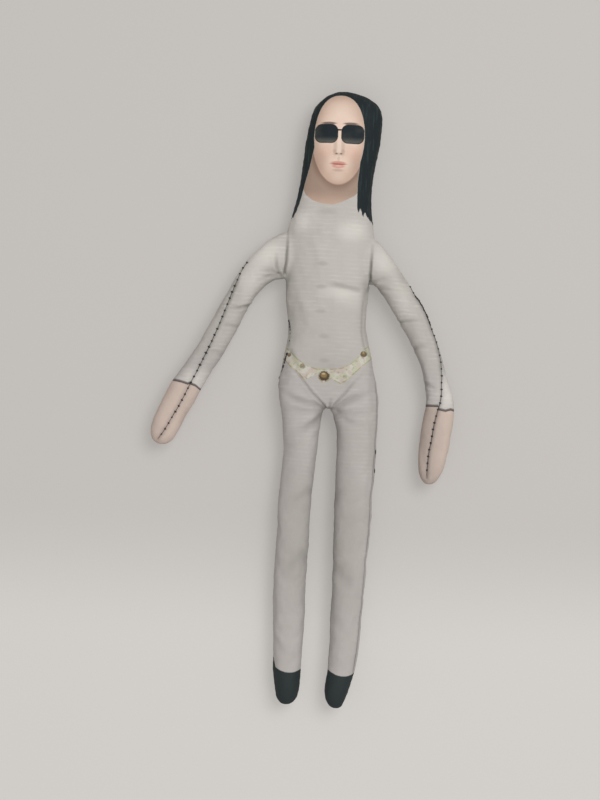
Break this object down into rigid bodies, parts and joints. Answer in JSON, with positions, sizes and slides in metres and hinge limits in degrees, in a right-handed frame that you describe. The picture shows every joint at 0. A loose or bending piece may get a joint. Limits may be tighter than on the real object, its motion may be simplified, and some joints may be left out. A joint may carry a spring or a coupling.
{
  "type": "bendy doll",
  "caption": "Slim stuffed cloth doll with bendable wire inside; its waist, neck, shoulders, elbows, wrists, hips, knees and ankles bend and stay as they are set.",
  "frame": {"origin": "under the middle of the doll's box, on the surface that its back lies on", "axes": "+Y runs from the feet to the head, +X to the doll's own left, +Z out of its chest"},
  "size_m": [0.1366, 0.2798, 0.0213],
  "materials": {
    "white_cloth": "matt polyester cloth with fine ribs",
    "head_cloth": null,
    "hair_cloth": "matt cloth printed black",
    "skin_cloth": "matt cloth",
    "shoe_cloth": "matt cloth",
    "stuffing": "loose fibre",
    "wire": "satin"
  },
  "bodies": {
    "torso": {"torso_front_panel": "white_cloth", "torso_back_panel": "white_cloth", "torso_stuffing": "stuffing", "torso_wire": "wire"},
    "hips": {"hips_wire": "wire", "hips_front_panel": "white_cloth", "hips_back_panel": "white_cloth", "hips_stuffing": "stuffing"},
    "neck": {"neck_cloth": "white_cloth", "neck_wire": "wire", "neck_stuffing": "stuffing"},
    "head": {"head_wire": "wire", "head_front_panel": "head_cloth", "head_back_panel": "hair_cloth", "head_stuffing": "stuffing"},
    "left_shoulder": {"left_shoulder_wire": "wire", "left_shoulder_cloth": "white_cloth"},
    "left_upper_arm": {"left_upper_arm_cloth": "white_cloth", "left_upper_arm_wire": "wire", "left_upper_arm_stuffing": "stuffing"},
    "left_forearm": {"left_forearm_cloth": "white_cloth", "left_forearm_wire": "wire", "left_forearm_stuffing": "stuffing"},
    "left_hand": {"left_hand_cloth": "skin_cloth", "left_hand_wire": "wire", "left_hand_stuffing": "stuffing"},
    "right_shoulder": {"right_shoulder_wire": "wire", "right_shoulder_cloth": "white_cloth"},
    "right_upper_arm": {"right_upper_arm_cloth": "white_cloth", "right_upper_arm_wire": "wire", "right_upper_arm_stuffing": "stuffing"},
    "right_forearm": {"right_forearm_cloth": "white_cloth", "right_forearm_wire": "wire", "right_forearm_stuffing": "stuffing"},
    "right_hand": {"right_hand_cloth": "skin_cloth", "right_hand_wire": "wire", "right_hand_stuffing": "stuffing"},
    "left_leg_root": {"left_leg_root_wire": "wire", "left_leg_root_cloth": "white_cloth"},
    "left_thigh": {"left_thigh_cloth": "white_cloth", "left_thigh_wire": "wire", "left_thigh_stuffing": "stuffing"},
    "left_shin": {"left_shin_cloth": "white_cloth", "left_shin_wire": "wire", "left_shin_stuffing": "stuffing"},
    "left_shoe": {"left_shoe_cloth": "shoe_cloth", "left_shoe_wire": "wire", "left_shoe_stuffing": "stuffing"},
    "right_leg_root": {"right_leg_root_wire": "wire", "right_leg_root_cloth": "white_cloth"},
    "right_thigh": {"right_thigh_cloth": "white_cloth", "right_thigh_wire": "wire", "right_thigh_stuffing": "stuffing"},
    "right_shin": {"right_shin_cloth": "white_cloth", "right_shin_wire": "wire", "right_shin_stuffing": "stuffing"},
    "right_shoe": {"right_shoe_cloth": "shoe_cloth", "right_shoe_wire": "wire", "right_shoe_stuffing": "stuffing"}
  },
  "joints": [
    {"name": "waist_bend", "type": "hinge", "parent": "torso", "child": "hips", "pos_m": [0.01092, 0.02848, 0.0105], "axis": [-0.9992, -0.0401, 0], "range_deg": [-30, 60]},
    {"name": "neck_nod", "type": "hinge", "parent": "torso", "child": "neck", "pos_m": [0.00879, 0.08144, 0.0105], "axis": [0.9992, 0.0401, 0], "range_deg": [-30, 40]},
    {"name": "neck_tilt", "type": "hinge", "parent": "neck", "child": "head", "pos_m": [0.00959, 0.09291, 0.0105], "axis": [0, 0, -1], "range_deg": [-20, 20]},
    {"name": "left_shoulder_raise", "type": "hinge", "parent": "torso", "child": "left_shoulder", "pos_m": [0.02943, 0.06586, 0.0105], "axis": [0, 0, 1], "range_deg": [-8, 100]},
    {"name": "left_shoulder_swing", "type": "hinge", "parent": "left_shoulder", "child": "left_upper_arm", "pos_m": [0.03871, 0.05537, 0.0105], "axis": [-0.749, -0.6626, 0], "range_deg": [-60, 60]},
    {"name": "left_elbow_bend", "type": "hinge", "parent": "left_upper_arm", "child": "left_forearm", "pos_m": [0.0504, 0.03384, 0.0105], "axis": [0, 0, -1], "range_deg": [-90, 12]},
    {"name": "left_wrist_bend", "type": "hinge", "parent": "left_forearm", "child": "left_hand", "pos_m": [0.06228, -0.00067, 0.0105], "axis": [-0.9455, -0.3256, 0], "range_deg": [-60, 60]},
    {"name": "right_shoulder_raise", "type": "hinge", "parent": "torso", "child": "right_shoulder", "pos_m": [-0.01053, 0.06425, 0.0105], "axis": [0, 0, -1], "range_deg": [-20, 95]},
    {"name": "right_shoulder_swing", "type": "hinge", "parent": "right_shoulder", "child": "right_upper_arm", "pos_m": [-0.02094, 0.05489, 0.0105], "axis": [0.6691, -0.7431, 0], "range_deg": [-60, 60]},
    {"name": "right_elbow_bend", "type": "hinge", "parent": "right_upper_arm", "child": "right_forearm", "pos_m": [-0.03392, 0.03411, 0.0105], "axis": [0, 0, 1], "range_deg": [-90, 25]},
    {"name": "right_wrist_bend", "type": "hinge", "parent": "right_forearm", "child": "right_hand", "pos_m": [-0.05217, 0.0025, 0.0105], "axis": [-0.866, 0.5, 0], "range_deg": [-60, 60]},
    {"name": "left_hip_spread", "type": "hinge", "parent": "hips", "child": "left_leg_root", "pos_m": [0.02562, -0.00048, 0.0105], "axis": [0, 0, 1], "range_deg": [-2, 25]},
    {"name": "left_hip_lift", "type": "hinge", "parent": "left_leg_root", "child": "left_thigh", "pos_m": [0.02562, -0.01148, 0.0105], "axis": [-1, 0, 0], "range_deg": [-30, 90]},
    {"name": "left_knee_bend", "type": "hinge", "parent": "left_thigh", "child": "left_shin", "pos_m": [0.02562, -0.06848, 0.0105], "axis": [1, 0, 0], "range_deg": [-20, 100]},
    {"name": "left_ankle_bend", "type": "hinge", "parent": "left_shin", "child": "left_shoe", "pos_m": [0.02562, -0.11798, 0.0105], "axis": [-1, 0, 0], "range_deg": [-35, 35]},
    {"name": "right_hip_spread", "type": "hinge", "parent": "hips", "child": "right_leg_root", "pos_m": [-0.00078, -0.00048, 0.0105], "axis": [0, 0, -1], "range_deg": [-2, 25]},
    {"name": "right_hip_lift", "type": "hinge", "parent": "right_leg_root", "child": "right_thigh", "pos_m": [-0.00078, -0.01148, 0.0105], "axis": [-1, 0, 0], "range_deg": [-30, 90]},
    {"name": "right_knee_bend", "type": "hinge", "parent": "right_thigh", "child": "right_shin", "pos_m": [-0.00078, -0.06848, 0.0105], "axis": [1, 0, 0], "range_deg": [-20, 100]},
    {"name": "right_ankle_bend", "type": "hinge", "parent": "right_shin", "child": "right_shoe", "pos_m": [-0.00078, -0.11798, 0.0105], "axis": [-1, 0, 0], "range_deg": [-35, 35]}
  ]
}
